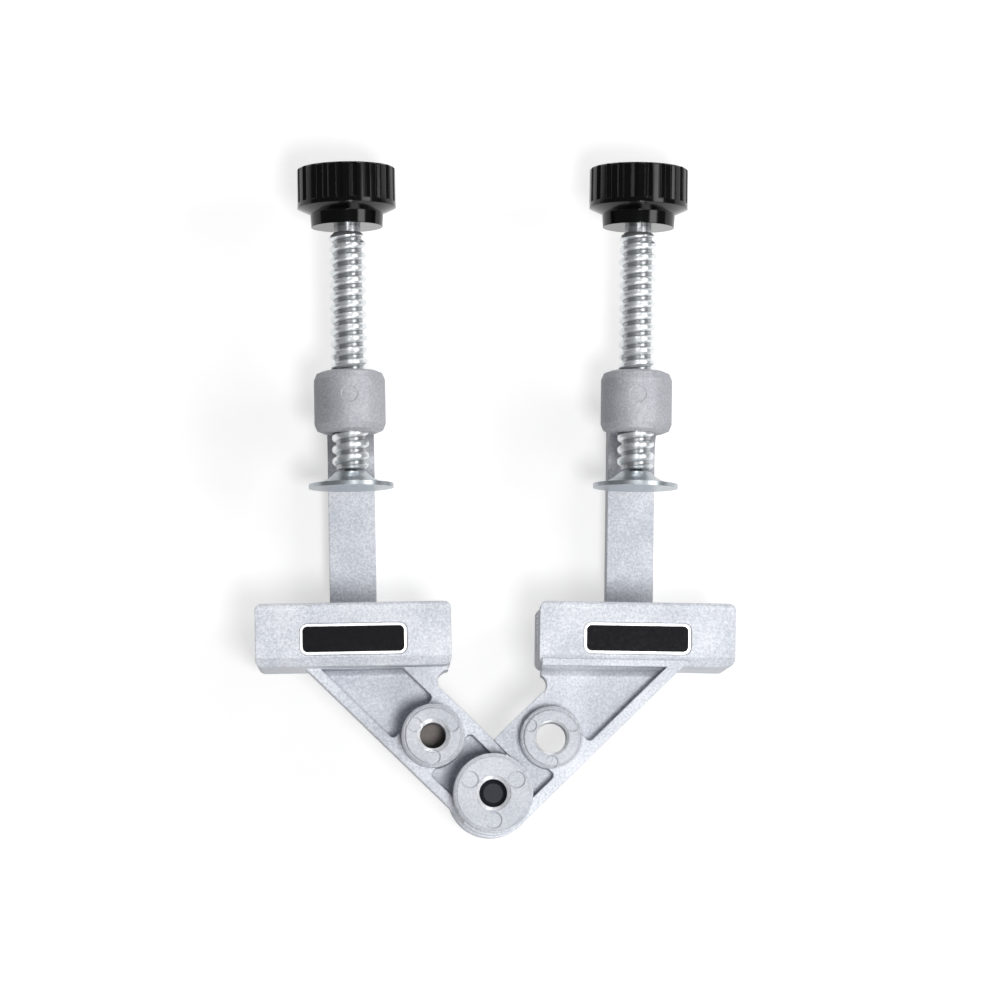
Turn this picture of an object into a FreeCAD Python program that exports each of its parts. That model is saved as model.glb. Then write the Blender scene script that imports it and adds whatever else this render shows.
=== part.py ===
import FreeCAD
import Part
import math
import os

os.makedirs("parts", exist_ok=True)

V = FreeCAD.Vector

# Frame of the clamp
# It lies on the backs of its two spines: X across the two arms, Y from the
# hinge up to the knobs, Z up from the floor through the depth of the jaws.
# All sizes are in millimetres.

# Rest angle: how far each arm has swung outwards from a straight joint
rest_splay = 0.95

# Depth levels above the floor
spine_depth = 15.0
jaw_back = 17.0
jaw_depth = 50.0
jaw_front = jaw_back + jaw_depth
centre_level = jaw_back + jaw_depth / 2

# Jaw block
block_length = 65.1
block_height = 21.0
block_top = 64.0
left_offset = 45.4
right_offset = 47.2
block_corner = 2.4
mouth_half = 21.0
floor_half = 5.7
lip_strip = 2.1
face_slope_height = 4.0
face_recess = 1.1
lower_bevel_height = 3.0
lower_bevel_depth = 1.6

# Name plate and its recess
plate_length = 35.3
plate_height = 10.1
plate_corner = 2.4
plate_thickness = 0.5
plate_gap = 0.25
plate_recess = 0.8

# Spindle boss and the frame behind the tube
boss_diameter = 24.1
boss_bottom = 122.8
boss_height = 21.0
boss_edge = 3.0
spine_width = 16.0
neck_drop = 1.2
throat_corner = 9.0
frame_back_corner = 17.0
spine_toe = 8.0

# Spindle
thread_diameter = 12.5
thread_pitch = 4.0
thread_depth = 0.375 * thread_pitch
thread_clearance = 0.1
ball_diameter = 6.0
ball_clearance = 0.15
ball_floor = 0.6
ball_neck = 3.6
ball_neck_clearance = 0.85
neck_diameter = 9.0
neck_length = 2.0
spindle_in_knob = 11.0

# Swivel foot
foot_diameter = 28.7
foot_rest_level = 104.2
foot_flange = 1.4
foot_cone_foot = 21.0
foot_cone_rise = 0.5
foot_cone_waist = 15.2
foot_waist_level = 3.3
foot_cone_top = 10.4
foot_height = 5.4
foot_screw_gap = 0.8

# Knob
knob_level = 193.1
knob_flange_diameter = 33.4
knob_hub_top = 24.8
knob_hub_foot = 24.2
knob_hub_height = 4.5
knob_taper_height = 2.0
knob_height = 20.0
knob_edge = 0.5
knob_flutes = 22
flute_radius = 1.5
flute_depth = 0.75
flute_start = 1.6

# Hinge
knuckle_diameter = 26.4
knuckle_rim = 0.9
lug_back_diameter = 28.8
tongue_depth = 19.4
hinge_side_gap = 0.3
pin_diameter = 9.2
pin_clearance = 0.05
pin_press_gap = 0.01
pin_end_bevel = 1.4
pin_sink = 2.4
pin_mouth = 11.7
swing_radius = 24.0

# Both arms
pocket_corner = 1.5
web_fillet = 2.7
ring_bevel_width = 1.5
ring_bevel_height = 0.6

# Left arm: a flat bar as deep as the tongue, with two pockets in its front
left_outer_half = 13.1
left_inner_half = 13.5
left_pocket_half = 9.7
left_web = 39.7
left_low_pocket = 19.5
left_high_pocket = 36.5
left_notch_along = 36.6
left_notch_across = 17.2
left_notch_radius = 3.8
left_ring_along = 27.6
left_ring_across = 0.0
left_ring_diameter = 21.0
left_ring_face = jaw_front - 2.6
left_ring_floor = 46.5
left_ring_bore = 8.6
left_ring_mouth = 11.2

# Right arm: a front plate with a tall rib along its outer edge
right_outer_half = 13.9
right_inner_half = 12.7
right_rib = 3.7
right_rib_front = jaw_front - 1.4
right_web = jaw_front - 9.6
right_deep_back = 46.5
right_deep_start = 34.0
right_web_thickness = 4.6
right_edge_wall = 4.0
right_plate_start = 12.8
right_low_pocket = 18.8
right_high_pocket = 34.6
right_back_pocket = 38.5
right_gusset = 1.3
right_gusset_rise = 2.0
right_notch_along = 36.0
right_notch_across = 15.7
right_notch_radius = 3.2
right_ring_along = 26.7
right_ring_across = 0.3
right_ring_diameter = 20.8
right_ring_face = jaw_front - 1.2
right_ring_bore = 10.2
right_ring_mouth = 11.6

# Values that follow from the sizes above
block_bottom = block_top - block_height
boss_top = boss_bottom + boss_height
boss_radius = boss_diameter / 2
tongue_back = centre_level - tongue_depth / 2
tongue_front = centre_level + tongue_depth / 2
lug_back_top = tongue_back - hinge_side_gap
lug_front_bottom = tongue_front + hinge_side_gap
knuckle_radius = knuckle_diameter / 2
half_root = math.sqrt(0.5)


def rounded_face(corners, plane):
    """A closed outline of (a, b, radius) corners, as a face.

    plane turns the two outline numbers into a point in space.
    """
    count = len(corners)
    edges = []
    starts = []
    ends = []
    for i in range(count):
        a, b, radius = corners[i]
        here = plane(a, b)
        before = plane(corners[i - 1][0], corners[i - 1][1])
        after = plane(corners[(i + 1) % count][0], corners[(i + 1) % count][1])
        if radius <= 0:
            starts.append(here)
            ends.append(here)
            continue
        to_before = (before - here).normalize()
        to_after = (after - here).normalize()
        half = to_before.getAngle(to_after) / 2
        reach = radius / math.tan(half)
        first = here + to_before * reach
        last = here + to_after * reach
        bisector = (to_before + to_after).normalize()
        centre = here + bisector * (radius / math.sin(half))
        middle = centre - bisector * radius
        edges.append(Part.Arc(first, middle, last).toShape())
        starts.append(first)
        ends.append(last)
    for i in range(count):
        start = ends[i]
        stop = starts[(i + 1) % count]
        if start.distanceToPoint(stop) > 1e-6:
            edges.append(Part.makeLine(start, stop))
    wire = Part.Wire(Part.__sortEdges__(edges))
    return Part.Face(wire)


def plan_prism(corners, z0, z1):
    """Outline in the XY plane, raised from z0 to z1."""
    face = rounded_face(corners, lambda a, b: V(a, b, z0))
    return face.extrude(V(0, 0, z1 - z0))


def side_prism(corners, x0, x1):
    """Outline of (y, z) corners, drawn along X from x0 to x1."""
    face = rounded_face(corners, lambda a, b: V(x0, a, b))
    return face.extrude(V(x1 - x0, 0, 0))


def turned(profile, base, axis):
    """Solid of revolution: profile of (radius, height) points on the axis."""
    points = [V(r, 0, h) for r, h in profile]
    face = Part.Face(Part.makePolygon(points + [points[0]]))
    solid = face.revolve(V(0, 0, 0), V(0, 0, 1), 360)
    solid.Placement = FreeCAD.Placement(base, FreeCAD.Rotation(V(0, 0, 1), axis))
    return solid


def disc(radius, z0, z1, x, y):
    return Part.makeCylinder(radius, z1 - z0, V(x, y, z0))


def arm_point(along, across):
    """Plan position on the left arm: along runs from the hinge up to the jaw.

    across is positive on the outer side.
    """
    x = -(along + across) * half_root
    y = (along - across) * half_root
    return x, y


def arm_corner(along, across, radius):
    x, y = arm_point(along, across)
    return x, y, radius


def below_jaw(across, y):
    """Where a line that runs along the arm at this width meets the level y."""
    return -y - across / half_root


def jaw_block(offset):
    """The V jaw with its two lips, rounded corners and plate recess."""
    lip_inner_front = centre_level + mouth_half
    lip_inner_back = centre_level - mouth_half
    v_floor = block_top - (mouth_half - floor_half)
    left = -offset - block_length / 2
    right = -offset + block_length / 2
    face = jaw_front - face_recess
    back = jaw_back + face_recess
    slope_top = block_top - lip_strip
    slope_bottom = slope_top - face_slope_height
    bevel_top = block_bottom + lower_bevel_height
    half_section = [
        (block_bottom, centre_level, 0),
        (block_bottom, face - lower_bevel_depth, 0),
        (bevel_top, face, 0),
        (slope_bottom, face, 0),
        (slope_top, jaw_front, 0),
        (block_top, jaw_front, 1.0),
        (block_top, lip_inner_front, 0.6),
        (v_floor, centre_level + floor_half, 0),
        (v_floor, centre_level - floor_half, 0),
        (block_top, lip_inner_back, 0.6),
        (block_top, jaw_back, 1.0),
        (slope_top, jaw_back, 0),
        (slope_bottom, back, 0),
        (bevel_top, back, 0),
        (block_bottom, back + lower_bevel_depth, 0),
    ]
    body = side_prism(half_section, left, right)
    window = plan_prism(
        [
            (left, block_bottom, block_corner),
            (right, block_bottom, block_corner),
            (right, block_top, block_corner),
            (left, block_top, block_corner),
        ],
        jaw_back - 1,
        jaw_front + 1,
    )
    return body.common(window)


def plate_centre():
    slope_bottom = block_top - lip_strip - face_slope_height
    bevel_top = block_bottom + lower_bevel_height
    return (slope_bottom + bevel_top) / 2


def plate_outline(offset, length, height, corner, z0, z1):
    middle = plate_centre()
    left = -offset - length / 2
    right = -offset + length / 2
    low = middle - height / 2
    high = middle + height / 2
    corners = [(left, low, corner), (right, low, corner), (right, high, corner), (left, high, corner)]
    return plan_prism(corners, z0, z1)


def plate_recess_cut(offset):
    face = jaw_front - face_recess
    return plate_outline(
        offset,
        plate_length + 2 * plate_gap,
        plate_height + 2 * plate_gap,
        plate_corner + plate_gap,
        face - plate_recess,
        face + 2,
    )


def name_plate(offset):
    floor = jaw_front - face_recess - plate_recess
    return plate_outline(offset, plate_length, plate_height, plate_corner, floor, floor + plate_thickness)


def c_frame(offset):
    """The spine behind the tube, with the neck that carries the boss."""
    neck_top = boss_top - neck_drop
    neck_bottom = boss_bottom + neck_drop
    outline = [
        (block_bottom, jaw_back + 3, 0),
        (block_bottom, spine_toe, 1.5),
        (block_bottom + spine_toe, 0, 3.0),
        (neck_top, 0, frame_back_corner),
        (neck_top, centre_level, 0),
        (neck_bottom, centre_level, 0),
        (neck_bottom, spine_depth, throat_corner),
        (block_top - 6, spine_depth, 2.0),
        (block_top - 10, jaw_back + 3, 0),
    ]
    half = spine_width / 2
    return side_prism(outline, -offset - half, -offset + half)


def boss(offset):
    steps = 2
    profile = [(0, 0)]
    for i in range(steps + 1):
        angle = math.pi / 2 * i / steps
        profile.append((boss_radius - boss_edge * (1 - math.sin(angle)), boss_edge * (1 - math.cos(angle))))
    for i in range(steps + 1):
        angle = math.pi / 2 * i / steps
        profile.append(
            (boss_radius - boss_edge * (1 - math.cos(angle)), boss_height - boss_edge * (1 - math.sin(angle)))
        )
    profile.append((0, boss_height))
    return turned(profile, V(-offset, boss_bottom, centre_level), V(0, 1, 0))


def boss_hole(offset):
    """Clear hole for the spindle, through the boss."""
    radius = thread_diameter / 2 + thread_clearance
    return Part.makeCylinder(radius, boss_height + 2, V(-offset, boss_bottom - 1, centre_level), V(0, 1, 0))


def arm_outline(offset, outer_half, inner_half, near_corners, notch_along):
    """Plan of one arm, from the jaw block down to the hinge."""
    reach = block_bottom + 2
    block_end = -offset + block_length / 2 - 1.0
    far_x, far_y = arm_point(notch_along - 0.5, -inner_half)
    start = [(below_jaw(outer_half, reach), reach, 0), arm_corner(0, outer_half, 0), (0, 0, 0)]
    return start + near_corners + [(far_x, far_y, 0), (block_end, far_y + 4.0, 0), (block_end, reach, 0)]


def notch_cut(along, across, radius):
    x, y = arm_point(along, across)
    return disc(radius, -1, jaw_front + 1, x, y)


def web_blend(field, level, depth, gusset, rise):
    """Rounded strip that eases the web into the underside of the jaw block.

    It may start with a flat gusset face under the block.
    """
    top = level + web_fillet + rise + 0.2
    foot = block_bottom - gusset
    reach = foot - web_fillet - 0.5
    corners = [
        (block_bottom + 1, level - depth, 0),
        (block_bottom + 1, top, 0),
        (block_bottom, top, 0),
    ]
    if gusset > 0:
        corners.append((foot, top - rise, 0))
    corners = corners + [(foot, level, web_fillet), (reach, level, 0), (reach, level - depth, 0)]
    return side_prism(corners, -100, 0).common(field)


def bevelled_disc(radius, bevel_width, bevel_height, z0, z1, x, y):
    length = z1 - z0
    profile = [(0, 0), (radius, 0), (radius, length - bevel_height), (radius - bevel_width, length), (0, length)]
    return turned(profile, V(x, y, z0), V(0, 0, 1))


def countersink(bore, mouth, face_level, x, y):
    """Cone from the bore out to the mouth, with its room above the face."""
    depth = (mouth - bore) / 2
    profile = [(0, 0), (bore / 2, 0), (mouth / 2, depth), (mouth / 2, depth + 1), (0, depth + 1)]
    return turned(profile, V(x, y, face_level - depth), V(0, 0, 1))


def left_arm():
    """Casting of the left side: jaw, spine, boss and the tongue of the hinge."""
    near = [arm_corner(6.0, -left_inner_half, 1.5)]
    outline = arm_outline(left_offset, left_outer_half, left_inner_half, near, left_notch_along)
    notch = notch_cut(left_notch_along, -left_notch_across, left_notch_radius)
    field = plan_prism(outline, 0, jaw_front).cut(notch)
    bar = plan_prism(outline, tongue_back, tongue_front).cut(notch)
    half = left_pocket_half
    top = block_bottom - 0.3
    low_pocket = [
        arm_corner(left_low_pocket, half, pocket_corner),
        arm_corner(0, half, 0),
        arm_corner(0, -half, 0),
        arm_corner(left_low_pocket, -half, pocket_corner),
    ]
    high_pocket = [
        (below_jaw(half, top), top, 0),
        arm_corner(left_high_pocket, half, pocket_corner),
        arm_corner(left_high_pocket, -half, pocket_corner),
        (below_jaw(-half, top), top, 0),
    ]
    bar = bar.cut([plan_prism(low_pocket, left_web, jaw_front), plan_prism(high_pocket, left_web, jaw_front)])
    x, y = arm_point(left_ring_along, left_ring_across)
    parts = [
        disc(knuckle_radius, tongue_back, tongue_front, 0, 0),
        bevelled_disc(left_ring_diameter / 2, ring_bevel_width, ring_bevel_height, left_web - 1, left_ring_face, x, y),
        web_blend(field, left_web, left_web - tongue_back, 0, 0),
        jaw_block(left_offset),
        c_frame(left_offset),
        boss(left_offset),
    ]
    body = bar.fuse(parts)
    cuts = [
        disc(pin_diameter / 2 + pin_clearance, 0, jaw_front + 1, 0, 0),
        disc(left_ring_bore / 2, left_ring_floor, left_ring_face + 1, x, y),
        countersink(left_ring_bore, left_ring_mouth, left_ring_face, x, y),
        plate_recess_cut(left_offset),
        boss_hole(left_offset),
    ]
    return body.cut(cuts).removeSplitter()


def right_arm():
    """Casting of the right side, drawn as the left one and then mirrored."""
    near = [
        arm_corner(right_plate_start, -3.0, 0),
        arm_corner(right_plate_start, -right_inner_half, 1.0),
    ]
    outline = arm_outline(right_offset, right_outer_half, right_inner_half, near, right_notch_along)
    notch = notch_cut(right_notch_along, -right_notch_across, right_notch_radius)
    field = plan_prism(outline, 0, jaw_front).cut(notch)
    plate = plan_prism(outline, lug_front_bottom, right_rib_front).cut(notch)
    reach = block_bottom + 2
    wall = right_outer_half - right_rib
    top = block_bottom - 0.3
    # Above the ring the plate has a deeper edge and a pocket from the back
    deep = [
        (below_jaw(right_outer_half, reach), reach, 0),
        arm_corner(right_deep_start, right_outer_half, 0),
        arm_corner(right_deep_start, -60, 0),
        (40, reach, 0),
    ]
    deep_part = plan_prism(deep, right_deep_back, lug_front_bottom + 1).common(field)
    plate = plate.fuse(deep_part)
    x, y = arm_point(right_ring_along, right_ring_across)
    # The high middle part reaches from the rib to the ring
    pocket = [
        (below_jaw(wall, top), top, 0),
        arm_corner(right_high_pocket, wall, pocket_corner),
        arm_corner(right_high_pocket, right_ring_across + 3, 0),
        arm_corner(right_low_pocket, right_ring_across + 3, 0),
        arm_corner(right_low_pocket, wall, pocket_corner),
        arm_corner(0, wall, 0),
        arm_corner(0, -60, 0),
        (40, top, 0),
    ]
    plate = plate.cut(plan_prism(pocket, right_web, jaw_front))
    edge = right_inner_half - right_edge_wall
    back_pocket = [
        (below_jaw(wall, top), top, 0),
        arm_corner(right_back_pocket, wall, pocket_corner),
        arm_corner(right_back_pocket, -edge, pocket_corner),
        (below_jaw(-edge, top), top, 0),
    ]
    plate = plate.cut(plan_prism(back_pocket, 0, right_web - right_web_thickness))
    rib = plan_prism(
        [
            (below_jaw(right_outer_half, reach), reach, 0),
            arm_corner(0, right_outer_half, 0),
            arm_corner(0, wall, 0),
            (below_jaw(wall, reach), reach, 0),
        ],
        jaw_back,
        right_rib_front,
    )
    # Below the rib the front lug keeps the rib's outer line round the pin
    lug_half = [
        arm_corner(0, 0, 0),
        arm_corner(0, 40, 0),
        arm_corner(-40, 40, 0),
        arm_corner(-40, 0, 0),
    ]
    lug_step = disc(right_outer_half, lug_front_bottom, right_rib_front, 0, 0)
    lug_step = lug_step.common(plan_prism(lug_half, 0, jaw_front))
    lug_gusset = plan_prism(
        [
            arm_corner(right_low_pocket, wall + 1, 0),
            arm_corner(0, wall + 1, 0),
            arm_corner(0, -knuckle_radius + 2, 0),
            arm_corner(4.0, -knuckle_radius + 2, 2.0),
        ],
        jaw_back,
        lug_back_top,
    )
    parts = [
        rib,
        lug_step,
        lug_gusset,
        disc(lug_back_diameter / 2, jaw_back, lug_back_top, 0, 0),
        bevelled_disc(knuckle_radius, knuckle_rim, knuckle_rim / 2, lug_front_bottom, jaw_front, 0, 0),
        bevelled_disc(
            right_ring_diameter / 2, ring_bevel_width, ring_bevel_height, lug_front_bottom, right_ring_face, x, y
        ),
        web_blend(field, right_web, right_web_thickness, right_gusset, right_gusset_rise),
        jaw_block(right_offset),
        c_frame(right_offset),
        boss(right_offset),
    ]
    body = plate.fuse(parts)
    cuts = [
        disc(swing_radius, lug_back_top, lug_front_bottom, 0, 0),
        disc(pin_diameter / 2 + pin_press_gap, 0, jaw_front + 1, 0, 0),
        disc(right_ring_bore / 2, 0, right_ring_face + 1, x, y),
        countersink(right_ring_bore, right_ring_mouth, right_ring_face, x, y),
        countersink(pin_diameter, pin_mouth, jaw_front, 0, 0),
        plate_recess_cut(right_offset),
        boss_hole(right_offset),
    ]
    return body.cut(cuts).removeSplitter()


def pivot_pin():
    bottom = jaw_back + pin_sink
    length = jaw_front - pin_sink - bottom
    radius = pin_diameter / 2
    bevel = pin_end_bevel
    profile = [
        (0, 0),
        (radius - bevel, 0),
        (radius, bevel * 0.7),
        (radius, length - bevel * 0.7),
        (radius - bevel, length),
        (0, length),
    ]
    return turned(profile, V(0, 0, bottom), V(0, 0, 1))


def ball_profile(radius, centre, half_angle, steps):
    """Points of a faceted ball on its axis, closed below, open at half_angle."""
    points = []
    for i in range(steps + 1):
        angle = -90 + (90 + half_angle) * i / steps
        points.append((radius * math.cos(math.radians(angle)), centre + radius * math.sin(math.radians(angle))))
    return points


def ball_centre():
    return ball_floor + ball_diameter / 2


def spindle(offset):
    """Screw with the ball that carries the foot and a neck under the knob."""
    neck_radius = ball_neck / 2
    ball_radius = ball_diameter / 2
    open_angle = math.degrees(math.acos(neck_radius / ball_radius))
    start = foot_height + foot_screw_gap
    stop = knob_level - neck_length - foot_rest_level
    radius = thread_diameter / 2
    top = knob_level + spindle_in_knob - foot_rest_level
    profile = ball_profile(ball_radius, ball_centre(), open_angle, 3) + [
        (neck_radius, start),
        (radius - thread_depth, start),
        (radius, start + thread_depth),
        (radius, stop - thread_depth),
        (neck_diameter / 2, stop),
        (neck_diameter / 2, top),
        (0, top),
    ]
    return turned(profile, V(-offset, foot_rest_level, centre_level), V(0, 1, 0))


def foot(offset):
    """Swivel foot: thin flange, hollow-sided cone and the socket over the ball."""
    mouth = ball_neck / 2 + ball_neck_clearance
    socket_radius = ball_diameter / 2 + ball_clearance
    open_angle = math.degrees(math.acos(mouth / socket_radius))
    socket = ball_profile(socket_radius, ball_centre(), open_angle, 4)
    profile = [
        (0, 0),
        (foot_diameter / 2, 0),
        (foot_diameter / 2, foot_flange),
        (foot_cone_foot / 2, foot_flange + foot_cone_rise),
        (foot_cone_waist / 2, foot_waist_level),
        (foot_cone_top / 2, foot_height),
        (mouth, foot_height),
    ]
    profile = profile + socket[::-1]
    return turned(profile, V(-offset, foot_rest_level, centre_level), V(0, 1, 0))


def knob(offset):
    """Fluted knob with a hub and a bore for the spindle."""
    flange_radius = knob_flange_diameter / 2
    taper_end = knob_hub_height + knob_taper_height
    profile = [
        (0, 0),
        (knob_hub_foot / 2, 0),
        (knob_hub_top / 2, knob_hub_height),
        (flange_radius, taper_end),
        (flange_radius, knob_height - knob_edge),
        (flange_radius - knob_edge, knob_height),
        (0, knob_height),
    ]
    body = turned(profile, V(0, 0, 0), V(0, 0, 1))
    cuts = [Part.makeCylinder(neck_diameter / 2 + 0.02, spindle_in_knob + 0.2)]
    distance = flange_radius + flute_radius - flute_depth
    low = taper_end + flute_start
    flute = [
        V(distance + flute_radius * math.cos(math.pi * k / 4), flute_radius * math.sin(math.pi * k / 4), low)
        for k in range(2, 7)
    ]
    cutter = Part.Face(Part.makePolygon(flute + [flute[0]])).extrude(V(0, 0, knob_height))
    for i in range(knob_flutes):
        copy = cutter.copy()
        copy.rotate(V(0, 0, 0), V(0, 0, 1), 360.0 * i / knob_flutes)
        cuts.append(copy)
    body = body.cut(cuts).removeSplitter()
    body.Placement = FreeCAD.Placement(
        V(-offset, knob_level, centre_level), FreeCAD.Rotation(V(0, 0, 1), V(0, 1, 0))
    )
    return body


def rest_left(shape):
    shape = shape.copy()
    shape.rotate(V(0, 0, 0), V(0, 0, 1), rest_splay)
    return shape


def rest_right(shape):
    shape = shape.mirror(V(0, 0, 0), V(1, 0, 0))
    shape.rotate(V(0, 0, 0), V(0, 0, 1), -rest_splay)
    return shape


nodes = {
    "left_arm": rest_left(left_arm()),
    "right_arm": rest_right(right_arm()),
    "pivot_pin": pivot_pin(),
    "left_plate": rest_left(name_plate(left_offset)),
    "right_plate": rest_right(name_plate(right_offset)),
    "left_spindle": rest_left(spindle(left_offset)),
    "right_spindle": rest_right(spindle(right_offset)),
    "left_foot": rest_left(foot(left_offset)),
    "right_foot": rest_right(foot(right_offset)),
    "left_knob": rest_left(knob(left_offset)),
    "right_knob": rest_right(knob(right_offset)),
}

# The frame's origin is the middle of the lowest level of the whole clamp
whole = Part.makeCompound(list(nodes.values()))
extent = whole.optimalBoundingBox(False, False)
shift = V(
    -(extent.XMin + extent.XMax) / 2,
    -(extent.YMin + extent.YMax) / 2,
    -extent.ZMin,
)

for name, shape in nodes.items():
    shape.translate(shift)
    shape.exportStep("parts/" + name + ".step")
    print(name, shape.isValid(), len(shape.Solids), round(shape.Volume, 1))
print("hinge at", round(shift.x, 4), round(shift.y, 4), round(shift.z, 4))
print("size", round(extent.XLength, 2), round(extent.YLength, 2), round(extent.ZLength, 2))
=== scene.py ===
# %% [markdown]
# # A hinged corner clamp
# Two cast arms swing on one pin. Each has a V jaw, and a screw with a fluted
# knob and a swivel foot that presses the work down into the V. The rigid
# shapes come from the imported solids; this lesson gives them their finishes
# and models the two threaded spindles, which are what catches the eye first.

import math

import bpy
from mathutils import Matrix, Vector


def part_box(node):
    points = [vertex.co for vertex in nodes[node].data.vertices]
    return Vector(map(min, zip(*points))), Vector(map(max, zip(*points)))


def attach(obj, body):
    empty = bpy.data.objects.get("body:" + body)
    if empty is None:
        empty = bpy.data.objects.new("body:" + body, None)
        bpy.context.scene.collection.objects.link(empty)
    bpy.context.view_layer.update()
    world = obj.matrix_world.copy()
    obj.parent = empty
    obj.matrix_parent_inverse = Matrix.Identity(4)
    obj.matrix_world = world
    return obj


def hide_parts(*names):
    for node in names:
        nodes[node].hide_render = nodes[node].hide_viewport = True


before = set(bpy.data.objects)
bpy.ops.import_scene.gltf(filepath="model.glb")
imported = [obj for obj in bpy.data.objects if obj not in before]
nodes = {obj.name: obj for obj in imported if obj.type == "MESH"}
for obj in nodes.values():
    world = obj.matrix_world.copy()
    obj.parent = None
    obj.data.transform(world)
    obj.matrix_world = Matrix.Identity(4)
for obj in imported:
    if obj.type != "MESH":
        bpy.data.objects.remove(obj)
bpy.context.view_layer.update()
mm = 0.001
sides = ("left", "right")
print("pieces from the solids:", sorted(nodes))

# %% [markdown]
# ## Where things are
# Each arm leans by the same small angle, one to each side, so a spindle's
# axis is not quite upright in the picture. Measuring the two ends of a solid
# spindle gives the axis without writing any place down twice.

# %% Measure each spindle's axis
end_depth = 0.4 * mm


def spindle_axis(side):
    """The foot end of a spindle's axis, its direction and its length."""
    points = [v.co.copy() for v in nodes[side + "_spindle"].data.vertices]
    low = min(p.y for p in points)
    high = max(p.y for p in points)
    foot_end = [p for p in points if p.y < low + end_depth]
    knob_end = [p for p in points if p.y > high - end_depth]
    foot = sum(foot_end, Vector()) / len(foot_end)
    knob = sum(knob_end, Vector()) / len(knob_end)
    return foot, (knob - foot).normalized(), (knob - foot).length


low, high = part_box("pivot_pin")
hinge = Vector(((low[0] + high[0]) / 2, (low[1] + high[1]) / 2, 0))
for side in sides:
    direction = spindle_axis(side)[1]
    print(side, "spindle leans", round(math.degrees(math.atan2(direction.x, direction.y)), 2), "degrees")


# %% Places on an arm
def on_arm(side, outward, upward):
    """A place on an arm, from the hinge: away from the other arm, and up."""
    up = spindle_axis(side)[1]
    out = Vector((-up.y, up.x, 0)) if side == "left" else Vector((up.y, -up.x, 0))
    return hinge + out * outward + up * upward


def on_slant(side, along, across):
    """A place on an arm's slanted part, which leaves the hinge at 45 degrees."""
    diagonal = math.sqrt(0.5)
    return on_arm(side, (along + across) * diagonal, (along - across) * diagonal)


print("the hinge stands at", [round(value / mm, 1) for value in hinge.xy], "mm")

# %% [markdown]
# ## Shader maths that reads like maths
# A wear mask is easier to follow as an expression than as a row of nodes. The
# small class below wraps a socket, so that `grain * 0.2 + 0.4` adds the Math
# nodes that it says. Colours are mixed with Mix nodes, since a Math node
# would turn them grey.


# %% A socket that can be added and multiplied
class Sock:
    """A shader socket that arithmetic works on."""

    def __init__(self, tree, socket):
        self.tree = tree
        self.socket = socket

    def node(self, kind, inputs=None, output=0, **settings):
        """A new node: its settings first, then what goes into its sockets."""
        made = self.tree.nodes.new(kind)
        for name, value in settings.items():
            setattr(made, name, value)
        for name, value in (inputs or {}).items():
            put(self.tree, made.inputs[name], value)
        return Sock(self.tree, made.outputs[output])

    def math(self, operation, other, swap=False):
        a, b = (other, self) if swap else (self, other)
        return self.node("ShaderNodeMath", {0: a, 1: b}, operation=operation)

    def __add__(self, other):
        return self.math("ADD", other)

    __radd__ = __add__

    def __sub__(self, other):
        return self.math("SUBTRACT", other)

    def __rsub__(self, other):
        return self.math("SUBTRACT", other, swap=True)

    def __mul__(self, other):
        return self.math("MULTIPLY", other)

    __rmul__ = __mul__

    def unsigned(self):
        """The value without its sign."""
        return self.node("ShaderNodeMath", {0: self}, operation="ABSOLUTE")

    def clamp(self, low, high):
        return self.math("MAXIMUM", low).math("MINIMUM", high)

    def ramp(self, dark, light):
        """From 0 at `dark` to 1 at `light`, with soft ends."""
        span = {"From Min": dark, "From Max": light, "To Min": 0.0, "To Max": 1.0, "Value": self}
        return self.node("ShaderNodeMapRange", span, interpolation_type="SMOOTHSTEP")

    def blend(self, low, high):
        """The colour `low` where this is 0 and `high` where it is 1."""
        made = self.tree.nodes.new("ShaderNodeMix")
        made.data_type = "RGBA"
        put(self.tree, made.inputs[0], self)
        put(self.tree, made.inputs[6], low)
        put(self.tree, made.inputs[7], high)
        return Sock(self.tree, made.outputs[2])


def put(tree, socket, value):
    """Link a Sock to a socket, or set the socket to a plain value."""
    if isinstance(value, Sock):
        tree.links.new(value.socket, socket)
    elif isinstance(value, tuple) and len(value) == 3 and socket.type == "RGBA":
        socket.default_value = (*value, 1.0)
    else:
        socket.default_value = value


# %% Helpers that every finish uses
def material(name):
    """A new material, its tree, its shader and the place on the piece."""
    made = bpy.data.materials.new(name)
    made.use_nodes = True
    tree = made.node_tree
    shader = tree.nodes["Principled BSDF"]
    place = Sock(tree, tree.nodes.new("ShaderNodeTexCoord").outputs["Object"])
    return made, tree, shader, place


def split(place):
    """The X, Y and Z of a place, each as a socket of its own."""
    made = place.tree.nodes.new("ShaderNodeSeparateXYZ")
    put(place.tree, made.inputs[0], place)
    return [Sock(place.tree, output) for output in made.outputs]


def noise(place, size, detail=2.0, roughness=0.5):
    """Noise whose blobs are about `size` metres across, from 0 to 1."""
    settings = {"Vector": place, "Scale": 1.0 / size, "Detail": detail, "Roughness": roughness}
    return place.node("ShaderNodeTexNoise", settings)


def soft_edge(place, radius):
    """Normals as if every edge had been rounded to this radius."""
    return place.node("ShaderNodeBevel", {"Radius": radius}, samples=6)


def bump(place, height, distance, edge=None):
    """A bump from a height mask, over an optional softened edge."""
    inputs = {"Height": height, "Distance": distance, "Strength": 1.0}
    if edge is not None:
        inputs["Normal"] = edge
    return place.node("ShaderNodeBump", inputs)


def dress(piece, made):
    """Give a whole piece one material."""
    piece.data.materials.clear()
    piece.data.materials.append(made)
    for face in piece.data.polygons:
        face.material_index = 0


print("shader helpers are ready")

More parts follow.
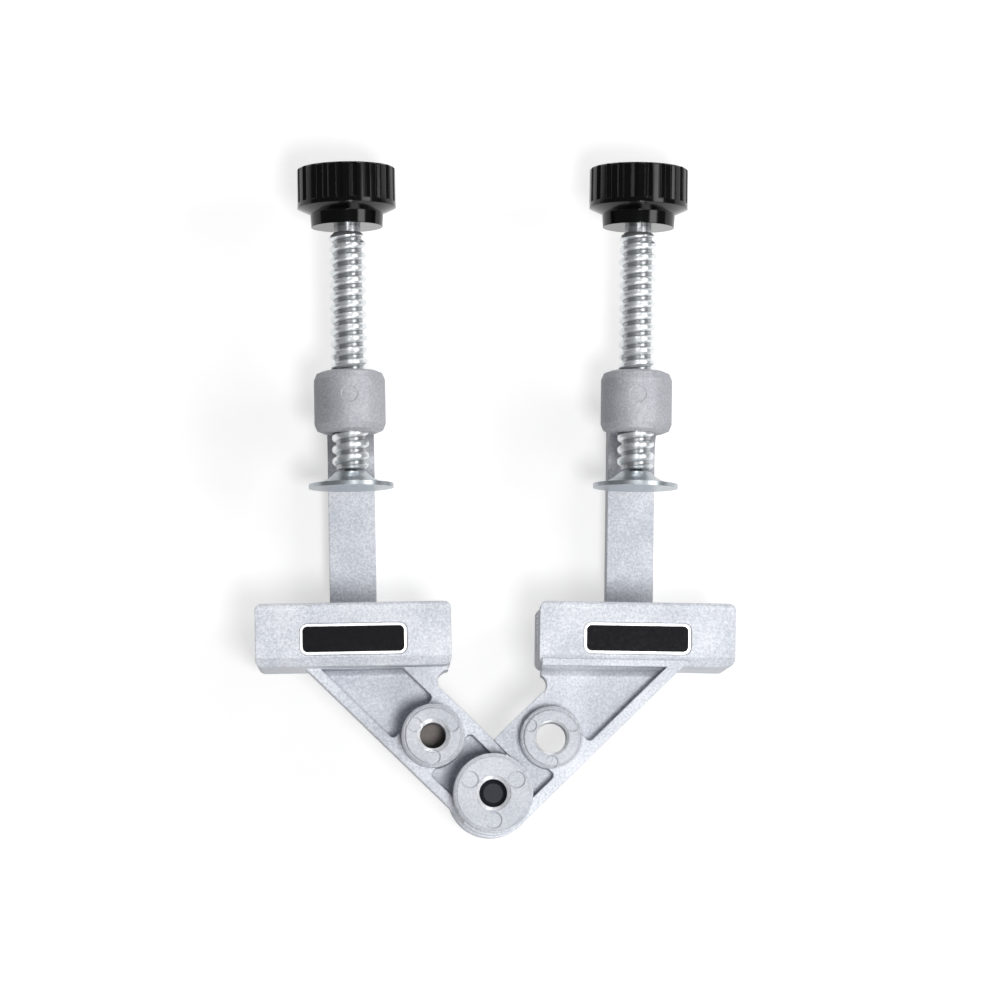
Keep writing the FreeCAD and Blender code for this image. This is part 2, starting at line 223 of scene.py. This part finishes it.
# %% [markdown]
# ## Turned faces and the mould's marks
# After casting, the faces of the hinge and of the two rings are skimmed flat
# in a lathe, and their holes are countersunk. The mould's ejector pins leave
# shallow round marks that the skimming doesn't take away: three on each of
# these faces and one on each boss. They are about two tenths of a millimetre
# deep, too little to be worth modelling, so a bump will show them. Here each
# is only a middle and a radius.

# %% Where the turned faces and the marks are
left_ring = on_slant("left", 27.6 * mm, 0.0)
right_ring = on_slant("right", 26.7 * mm, 0.3 * mm)
# Middle, radius, radius of the countersink and height of each turned face
turned_faces = [
    (hinge, 13.1 * mm, 5.8 * mm, 67.0 * mm),
    (left_ring, 10.3 * mm, 5.55 * mm, 63.1 * mm),
    (right_ring, 10.3 * mm, 5.75 * mm, 65.1 * mm),
]
# The circle that three marks stand on, and the radius of a mark
mark_rows = [(left_ring, 7.1 * mm, 2.3 * mm), (right_ring, 8.1 * mm, 2.0 * mm), (hinge, 8.9 * mm, 2.7 * mm)]
spots = []
for middle, circle, radius in mark_rows:
    for angle in (-90, 30, 150):
        turn = math.radians(angle)
        spots.append((middle + Vector((math.cos(turn), math.sin(turn), 0)) * circle, radius))
boss_height = 135.0 * mm
for side, outward in (("left", 45.4 * mm), ("right", 47.2 * mm)):
    spots.append((on_arm(side, outward, boss_height), 2.75 * mm))
print(len(spots), "ejector marks")

# %% [markdown]
# ## Masks of the castings
# A mask is 1 where a finish, a painted shade or a painted reflection applies
# and 0 elsewhere. Most of these are round, so they start from the distance to
# a middle, flattened to the plan, and the nearest circle's outline wins. The
# height keeps a mask on its own face.

# %% Distances on the castings
cast, tree, shader, place = material("blasted_casting")
flat = place.node("ShaderNodeVectorMath", {0: place, 1: (1.0, 1.0, 0.0)}, operation="MULTIPLY")


def nearest(circles):
    """How far outside the nearest of these circles a place is, in metres."""
    found = 1.0
    for spot, radius in circles:
        middle = (spot.x, spot.y, 0.0)
        away = flat.node("ShaderNodeVectorMath", {0: flat, 1: middle}, output=1, operation="DISTANCE")
        found = (away - radius).math("MINIMUM", found)
    return found


def within(distance, blur):
    """1 inside an outline and 0 outside, blurred by this much each way."""
    return distance.ramp(blur, -blur)


print("distances ready for", cast.name)

# %% Masks of marks, turned faces, countersinks and painted shade
blur = 0.1 * mm
line_inset = 0.9 * mm
line_half_width = 0.35 * mm
sink_depth = 1.5 * mm
upward, level = split(place)[1:]
front = level.ramp(50 * mm, 51 * mm)
sunk = nearest(spots).ramp(0.3 * mm, -0.25 * mm) * front
turned = 0.0
groove = 0.0
cut = 0.0
for middle, radius, sink_radius, height in turned_faces:
    inside = nearest([(middle, radius)])
    at_face = level.ramp(height - 3 * blur, height - blur)
    in_sink = level.ramp(height - sink_depth - blur, height - sink_depth + blur)
    cut = within(nearest([(middle, sink_radius)]), blur / 2) * in_sink + cut
    turned = within(inside, blur) * at_face + turned
    off_line = (inside + line_inset) * (inside + line_inset)
    groove = off_line.ramp(line_half_width**2, 0.0) * at_face + groove
# The floor of the left ring's hole gets painted shade
hole_floor_shade = within(nearest([(left_ring, 4.4 * mm)]), blur) * (1.0 - front)
# The upper ends, with their bosses, get painted shade
upper_end_shade = upward.ramp(10 * mm, 20 * mm)
print("masks made for", len(turned_faces), "turned faces")

# %% [markdown]
# ## Blasted die-cast aluminium
# The arms are cast and then blasted, which leaves a matt, pale grey skin full
# of tiny bright and dark specks. Blasting scatters the light so widely that
# nothing is mirrored, so the shader is mostly a plain colour with only a
# little metal in it. A fine noise moves the colour, the roughness and the
# relief, and a slower one clouds the colour as handling does. The upper ends
# with their bosses are darkened with painted shade. The turned faces are
# duller, with one thin line near their edge. The countersinks are smoother
# machined metal, made paler still by a painted reflection, and the floor of
# the left ring's hole is darkened with painted shade.

# %% Cast metal
dark_skin = (0.45, 0.475, 0.53)
pale_skin = (0.78, 0.80, 0.845)
upper_end_shade_tone = (0.29, 0.28, 0.30)
speck_tone = (0.80, 0.81, 0.83)
turned_tone = (0.33, 0.345, 0.37)
hole_floor_shade_tone = (0.11, 0.085, 0.065)
machined_and_reflection_tone = (0.90, 0.905, 0.92)
grain = noise(place, 0.8 * mm, detail=4.0, roughness=0.75)
cloud = noise(place, 14 * mm, detail=2.0)
speck = noise(place, 0.9 * mm, detail=1.0).ramp(0.62, 0.74)
colour = (grain * 0.75 + cloud * 0.25).ramp(0.34, 0.68).blend(dark_skin, pale_skin)
# Painted shade over the upper ends and their bosses
colour = (upper_end_shade * 0.45).blend(colour, upper_end_shade_tone)
colour = (speck * 0.15).blend(colour, speck_tone)
colour = (turned * 0.4).blend(colour, turned_tone)
# Painted shade on the floor of the left ring's hole
colour = (hole_floor_shade * 0.9).blend(colour, hole_floor_shade_tone)
# The countersinks: bare machined metal, made paler by a painted reflection
colour = (cut * 0.6).blend(colour, machined_and_reflection_tone)
put(tree, shader.inputs["Base Color"], colour)
put(tree, shader.inputs["Roughness"], grain * 0.18 - cut * 0.12 + 0.38)
put(tree, shader.inputs["Metallic"], cut * 0.3 + 0.16)
shader.inputs["Specular IOR Level"].default_value = 0.3
relief = grain * (0.3 - cut * 0.25) - sunk * 1.1 - groove * 0.6
put(tree, shader.inputs["Normal"], bump(place, relief, 0.2 * mm, soft_edge(place, 0.5 * mm)))
for side in sides:
    dress(nodes[side + "_arm"], cast)
print("cast arms dressed")

# %% [markdown]
# ## Zinc on the screws and feet
# Zinc plate is brighter and smoother than the castings, with a faint blue
# tone. It wears unevenly, so soft patches change its tone and roughness. The
# feet are duller than the screws. The valleys of a thread are darkened with
# painted shade; a valley lies nearer to the screw's axis than the crest, so
# the distance from the axis finds it.

# %% Zinc plate
valley_shade_tone = (0.16, 0.17, 0.18)
worn_foot = (0.37, 0.41, 0.44)
bright_foot = (0.54, 0.58, 0.61)
worn_screw = (0.76, 0.79, 0.81)
bright_screw = (0.95, 0.97, 0.98)


def zinc_plate(name, worn, bright, thread_root=None):
    """Zinc between two tones, with painted shade in the thread's valleys where an axis is given."""
    made, tree, shader, place = material(name)
    patch = noise(place, 3.0 * mm, detail=4.0, roughness=0.6)
    fine = noise(place, 0.35 * mm, detail=2.0)
    colour = (patch * 0.6 + fine * 0.4).ramp(0.3, 0.7).blend(worn, bright)
    if thread_root is not None:
        start, direction, radius = thread_root
        away = place.node("ShaderNodeVectorMath", {0: place, 1: tuple(start)}, operation="SUBTRACT")
        away = away.node("ShaderNodeVectorMath", {0: away, 1: tuple(direction)}, operation="CROSS_PRODUCT")
        away = away.node("ShaderNodeVectorMath", {0: away}, output=1, operation="LENGTH")
        # Painted shade in the valleys of the thread
        valley_shade = away.ramp(radius + 0.7 * mm, radius + 0.1 * mm)
        colour = (valley_shade * 0.6).blend(colour, valley_shade_tone)
    put(tree, shader.inputs["Base Color"], colour)
    put(tree, shader.inputs["Roughness"], patch * 0.16 + 0.24)
    put(tree, shader.inputs["Normal"], bump(place, patch, 0.015 * mm))
    shader.inputs["Metallic"].default_value = 0.8
    return made


dull_zinc = zinc_plate("dull_zinc", worn_foot, bright_foot)
for side in sides:
    dress(nodes[side + "_foot"], dull_zinc)
print("feet dressed")

# %% [markdown]
# ## Black oxide on the hinge pin
# The pin is blackened steel: dark, a little blue, with a soft sheen that
# shows its end bevel. The colour is that of the oxide and not of bare steel,
# so there is little metal in the shader.

# %% Black oxide
dark_oxide = (0.005, 0.006, 0.010)
pale_oxide = (0.014, 0.017, 0.028)
oxide, tree, shader, place = material("black_oxide")
scuff = noise(place, 0.8 * mm, detail=3.0)
put(tree, shader.inputs["Base Color"], scuff.blend(dark_oxide, pale_oxide))
put(tree, shader.inputs["Roughness"], scuff * 0.15 + 0.48)
shader.inputs["Metallic"].default_value = 0.3
dress(nodes["pivot_pin"], oxide)
print("pin dressed")

# %% [markdown]
# ## Glossy knobs
# The knobs are moulded in black plastic with a clear gloss. Mould polish is
# never perfect, so the roughness wanders slightly, and the edges of the
# flutes are softened so that they catch a thin line of light.

# %% Black plastic
deep_black = (0.001, 0.001, 0.0013)
worn_black = (0.003, 0.003, 0.0034)
plastic, tree, shader, place = material("black_moulding")
wave = noise(place, 4.0 * mm, detail=2.0)
put(tree, shader.inputs["Base Color"], wave.blend(deep_black, worn_black))
put(tree, shader.inputs["Roughness"], wave * 0.08 + 0.10)
put(tree, shader.inputs["Normal"], soft_edge(place, 0.35 * mm))
shader.inputs["IOR"].default_value = 1.5
shader.inputs["Specular IOR Level"].default_value = 0.3
for side in sides:
    dress(nodes[side + "_knob"], plastic)
print("knobs dressed")

# %% [markdown]
# ## Name plates
# Each jaw carries a small black plate with a bright rim, set into a recess.
# The rim is worked out from the distance to the plate's own rounded edge, in
# coordinates turned to the lean of its arm.

# %% Plates with a bright rim
corner = 2.4 * mm
rim_width = 0.8 * mm
rim_blur = 0.12 * mm
plate_black = (0.008, 0.008, 0.010)
rim_metal = (0.80, 0.80, 0.81)
for side in sides:
    low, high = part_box(side + "_plate")
    direction = spindle_axis(side)[1]
    lean = math.atan2(-direction.x, direction.y)
    # A leaning plate's box is larger than the plate itself
    spare = abs(math.sin(lean)) / 2
    half_length = (high[0] - low[0]) / 2 - (high[1] - low[1]) * spare
    half_height = (high[1] - low[1]) / 2 - (high[0] - low[0]) * spare
    plate, tree, shader, place = material(side + "_name_plate")
    own_axes = {"Location": tuple((Vector(low) + Vector(high)) / 2), "Rotation": (0.0, 0.0, lean)}
    local = place.node("ShaderNodeMapping", {"Vector": place, **own_axes}, vector_type="TEXTURE")
    across, upward = split(local)[:2]
    across = across.unsigned()
    upward = upward.unsigned()
    over_x = (across - (half_length - corner)).math("MAXIMUM", 0.0)
    over_y = (upward - (half_height - corner)).math("MAXIMUM", 0.0)
    corner_reach = (over_x * over_x + over_y * over_y).math("POWER", 0.5)
    straight = (across - half_length).math("MAXIMUM", upward - half_height) + corner
    reach = corner_reach.math("MAXIMUM", straight)
    rim = reach.ramp(corner - rim_width, corner - rim_width + rim_blur)
    put(tree, shader.inputs["Base Color"], rim.blend(plate_black, rim_metal))
    put(tree, shader.inputs["Metallic"], rim * 0.9)
    put(tree, shader.inputs["Roughness"], noise(place, 1.2 * mm) * 0.1 + rim * 0.2 + 0.06)
    dress(nodes[side + "_plate"], plate)
    print(side, "plate", round(half_length * 2 / mm, 1), "by", round(half_height * 2 / mm, 1), "mm")

# %% [markdown]
# ## The thread
# A clamp screw has a coarse thread with flat crests, so it can be cut deep
# and run fast. A screw thread is one profile carried round and along at the
# same time, which is what the Screw modifier does. The profile is one pitch
# long, and each turn starts where the last one ended, so the turns join into
# one skin. It is drawn as a single point that is extruded from corner to
# corner.


# %% One pitch of the thread
def pick_none():
    """Leave nothing selected."""
    bpy.ops.object.select_all(action="DESELECT")


crest = 12.4 * mm / 2
root = 9.6 * mm / 2
pitch = 4.0 * mm
steps_a_turn = 56
crease = math.radians(32)
# Radius and height of each corner: valley, flank, rounded crest, flank
one_pitch = [
    (root, 0.0 * mm),
    (root, 0.9 * mm),
    (crest - 0.35 * mm, 1.55 * mm),
    (crest, 1.95 * mm),
    (crest, 2.95 * mm),
    (crest - 0.35 * mm, 3.35 * mm),
    (root, pitch),
]


def profile(name):
    """The corners of one pitch, as a chain of edges beside the Z axis."""
    pick_none()
    bpy.ops.mesh.primitive_plane_add(size=1 * mm)
    made = bpy.context.object
    made.name = name
    bpy.ops.object.mode_set(mode="EDIT")
    bpy.ops.mesh.select_mode(type="VERT")
    bpy.ops.mesh.select_all(action="SELECT")
    bpy.ops.mesh.merge(type="CENTER")
    bpy.ops.transform.translate(value=(one_pitch[0][0], 0, one_pitch[0][1]))
    for last, corner in zip(one_pitch, one_pitch[1:]):
        step = (corner[0] - last[0], 0, corner[1] - last[1])
        bpy.ops.mesh.extrude_region_move(TRANSFORM_OT_translate={"value": step})
    bpy.ops.object.mode_set(mode="OBJECT")
    return made


print("the thread is", round((crest - root) / mm, 2), "mm deep")

# %% [markdown]
# ## Turns, cut to length
# The swept turns are made too long, and a bisect at each end cuts them square
# and closes them. On a real screw both ends are then bevelled, so that the
# first turn starts gently. Here each point past the bevel is drawn in to it.


# %% The thread, swept and cut
def cut_square(height, keep_above):
    """Cut the piece in hand at a height and close the cut."""
    bpy.ops.object.mode_set(mode="EDIT")
    bpy.ops.mesh.select_all(action="SELECT")
    bpy.ops.mesh.bisect(
        plane_co=(0, 0, height),
        plane_no=(0, 0, 1),
        use_fill=True,
        clear_inner=keep_above,
        clear_outer=not keep_above,
    )
    bpy.ops.object.mode_set(mode="OBJECT")


def thread(name, low, high):
    """A right-hand trapezoidal thread along Z from low to high."""
    made = profile(name)
    screw = made.modifiers.new("Turns", "SCREW")
    screw.axis = "Z"
    screw.angle = 2 * math.pi
    screw.screw_offset = pitch
    screw.iterations = math.ceil((high - low) / pitch) + 2
    screw.steps = steps_a_turn
    screw.render_steps = steps_a_turn
    screw.use_merge_vertices = True
    screw.merge_threshold = 0.01 * mm
    bpy.ops.object.modifier_apply(modifier="Turns")
    # Starting this far below the cut sets where the crests stand
    made.location = (0, 0, low - pitch * 1.4)
    bpy.ops.object.transform_apply(location=True)
    cut_square(low, keep_above=True)
    cut_square(high, keep_above=False)
    # The bevel rises at 45 degrees from the valley at either end
    for vertex in made.data.vertices:
        reach = math.hypot(vertex.co.x, vertex.co.y)
        room = root + max(0.0, min(vertex.co.z - low, high - vertex.co.z))
        if reach > room:
            vertex.co.x *= room / reach
            vertex.co.y *= room / reach
    bpy.ops.object.mode_set(mode="EDIT")
    bpy.ops.mesh.select_all(action="SELECT")
    bpy.ops.mesh.remove_doubles(threshold=0.005 * mm)
    bpy.ops.mesh.normals_make_consistent(inside=False)
    bpy.ops.object.mode_set(mode="OBJECT")
    bpy.ops.object.shade_smooth_by_angle(angle=crease)
    return made


print("one turn has", steps_a_turn * (len(one_pitch) - 1), "faces")

# %% [markdown]
# ## The spindles
# Below the thread a thin neck ends in the ball that the swivel foot holds,
# and above it a plain end sits in the knob. These are turned shapes, so a
# cylinder and a sphere are enough, and they run a little way into the thread.
# The whole screw is made upright and then laid along its measured axis.


# %% Ball, neck and plain end
def cylinder(name, radius, low, high):
    """A closed cylinder along Z from low to high."""
    pick_none()
    middle = (0, 0, (low + high) / 2)
    bpy.ops.mesh.primitive_cylinder_add(vertices=48, radius=radius, depth=high - low, location=middle)
    made = bpy.context.object
    made.name = name
    bpy.ops.object.transform_apply(location=True)
    return made


def ball(name, radius):
    """A sphere that stands on the origin."""
    pick_none()
    middle = (0, 0, radius)
    bpy.ops.mesh.primitive_uv_sphere_add(segments=32, ring_count=16, radius=radius, location=middle)
    made = bpy.context.object
    made.name = name
    bpy.ops.object.transform_apply(location=True)
    return made


ball_radius = 3.0 * mm
neck_radius = 1.8 * mm
knob_end_radius = 4.5 * mm
overlap = 1.0 * mm
bevel_length = 1.5 * mm
print("ball", round(2 * ball_radius / mm, 1), "mm, neck", round(2 * neck_radius / mm, 1), "mm across")


# %% Both screws
def spindle(side):
    """The whole screw: ball, neck, thread and the plain end in the knob."""
    start, direction, length = spindle_axis(side)
    points = [v.co - start for v in nodes[side + "_spindle"].data.vertices]
    heights = [p.dot(direction) for p in points]
    wide = [h for p, h in zip(points, heights) if (p - direction * h).length > crest - 0.05 * mm]
    low = min(wide) - bevel_length
    high = max(wide) + bevel_length
    made = thread(side + "_screw", low, high)
    neck = cylinder("foot_neck", neck_radius, ball_radius, low + overlap)
    knob_end = cylinder("knob_neck", knob_end_radius, high - overlap, length)
    foot_ball = ball("foot_ball", ball_radius)
    pick_none()
    for piece in (foot_ball, neck, knob_end, made):
        piece.select_set(True)
    bpy.context.view_layer.objects.active = made
    bpy.ops.object.join()
    turn = Vector((0, 0, 1)).rotation_difference(direction).to_matrix().to_4x4()
    made.data.transform(Matrix.Translation(start) @ turn)
    thread_root = (start, direction, root)
    dress(made, zinc_plate(side + "_bright_zinc", worn_screw, bright_screw, thread_root))
    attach(made, side + "_screw")
    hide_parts(side + "_spindle")
    print(made.name, len(made.data.polygons), "faces,", round((high - low) / pitch, 1), "turns")


for side in sides:
    spindle(side)

# %% [markdown]
# ## Floor
# The floor is white to the camera and to reflections, so that the metal
# mirrors a pale room, and dark grey to the light that bounces off it, so that
# it doesn't light the clamp from below. It keeps a soft shadow.

# %% Floor
pick_none()
bpy.ops.mesh.primitive_plane_add(size=4.0, location=(0, 0, 0))
floor = bpy.context.object
floor.name = "floor"
paper, tree, shader, place = material("white_paper")
seen = place.node("ShaderNodeLightPath", output="Is Camera Ray")
mirrored = place.node("ShaderNodeLightPath", output="Is Glossy Ray")
through = place.node("ShaderNodeLightPath", output="Is Transmission Ray")
shown = (seen + mirrored + through).clamp(0.0, 1.0)
shader.inputs["Roughness"].default_value = 0.9
put(tree, shader.inputs["Base Color"], shown.blend((0.1, 0.1, 0.1), (0.5, 0.5, 0.5)))
glow = place.node("ShaderNodeEmission", {"Color": (1.0, 1.0, 1.0), "Strength": 0.6})
plain = Sock(tree, shader.outputs[0])
lit = place.node("ShaderNodeAddShader", {0: plain, 1: glow})
surface = place.node("ShaderNodeMixShader", {0: shown, 1: plain, 2: lit})
put(tree, tree.nodes["Material Output"].inputs["Surface"], surface)
floor.data.materials.append(paper)
print("floor laid")

# %% [markdown]
# ## World and lamps
# The world is a plain pale room: full white where the camera sees it, and dim
# as a light. The key lamp hangs high over the hinge end, and its small size
# keeps the highlights on the knobs thin. One at the right fills the shaded
# sides, and two low ones, beyond the knobs and beyond the hinge, light the
# flanks of the thread and the bevels of the jaws.

# %% World and lamps
world = bpy.data.worlds.new("studio")
bpy.context.scene.world = world
world.use_nodes = True
background = world.node_tree.nodes["Background"]
sight = Sock(world.node_tree, world.node_tree.nodes.new("ShaderNodeLightPath").outputs["Is Camera Ray"])
background.inputs["Color"].default_value = (1, 1, 1, 1)
put(world.node_tree, background.inputs["Strength"], sight * 0.85 + 0.15)
aim = Vector((0, 0, 40 * mm))


def lamp(name, place, size, power):
    """A square area lamp that looks at the middle of the clamp."""
    pick_none()
    bpy.ops.object.light_add(type="AREA", location=place)
    made = bpy.context.object
    made.name = name
    made.data.size = size
    made.data.energy = power
    made.rotation_euler = (aim - Vector(place)).to_track_quat("-Z", "Y").to_euler()


lamp("key", (0.13, -0.26, 1.3), 0.22, 8.6)
lamp("side", (0.9, 0.1, 0.9), 0.5, 4.1)
lamp("far", (0.35, 1.05, 0.42), 0.4, 5.0)
lamp("near", (0.35, -1.05, 0.42), 0.4, 4.8)

# %% [markdown]
# ## Camera
# The clamp was photographed from straight in front, through a long lens held
# slightly below and to the left. Here it lies on its back, so that camera
# looks down on it from one and a half metres.

# %% Camera
# Towards the camera and to its right, found from the picture's perspective
toward = Vector((-0.0278, -0.0886, 0.9957)).normalized()
right = Vector((0.9996, -0.0025, 0.0277)).normalized()
up = toward.cross(right).normalized()
right = up.cross(toward).normalized()
# The middle of the picture, measured from the hinge
target = hinge + Vector((2.57, 97.62, 62.0)) * mm
distance = 1.5
camera_data = bpy.data.cameras.new("camera")
camera_data.sensor_width = 36.0
camera_data.lens = 162.0
camera_data.clip_start = 0.05
camera = bpy.data.objects.new("camera", camera_data)
bpy.context.scene.collection.objects.link(camera)
turn = Matrix((right, up, toward)).transposed().to_4x4()
camera.matrix_world = Matrix.Translation(target + toward * distance) @ turn
bpy.context.scene.camera = camera
bpy.context.scene.view_settings.view_transform = "Standard"
print("camera lens", camera_data.lens, "mm")
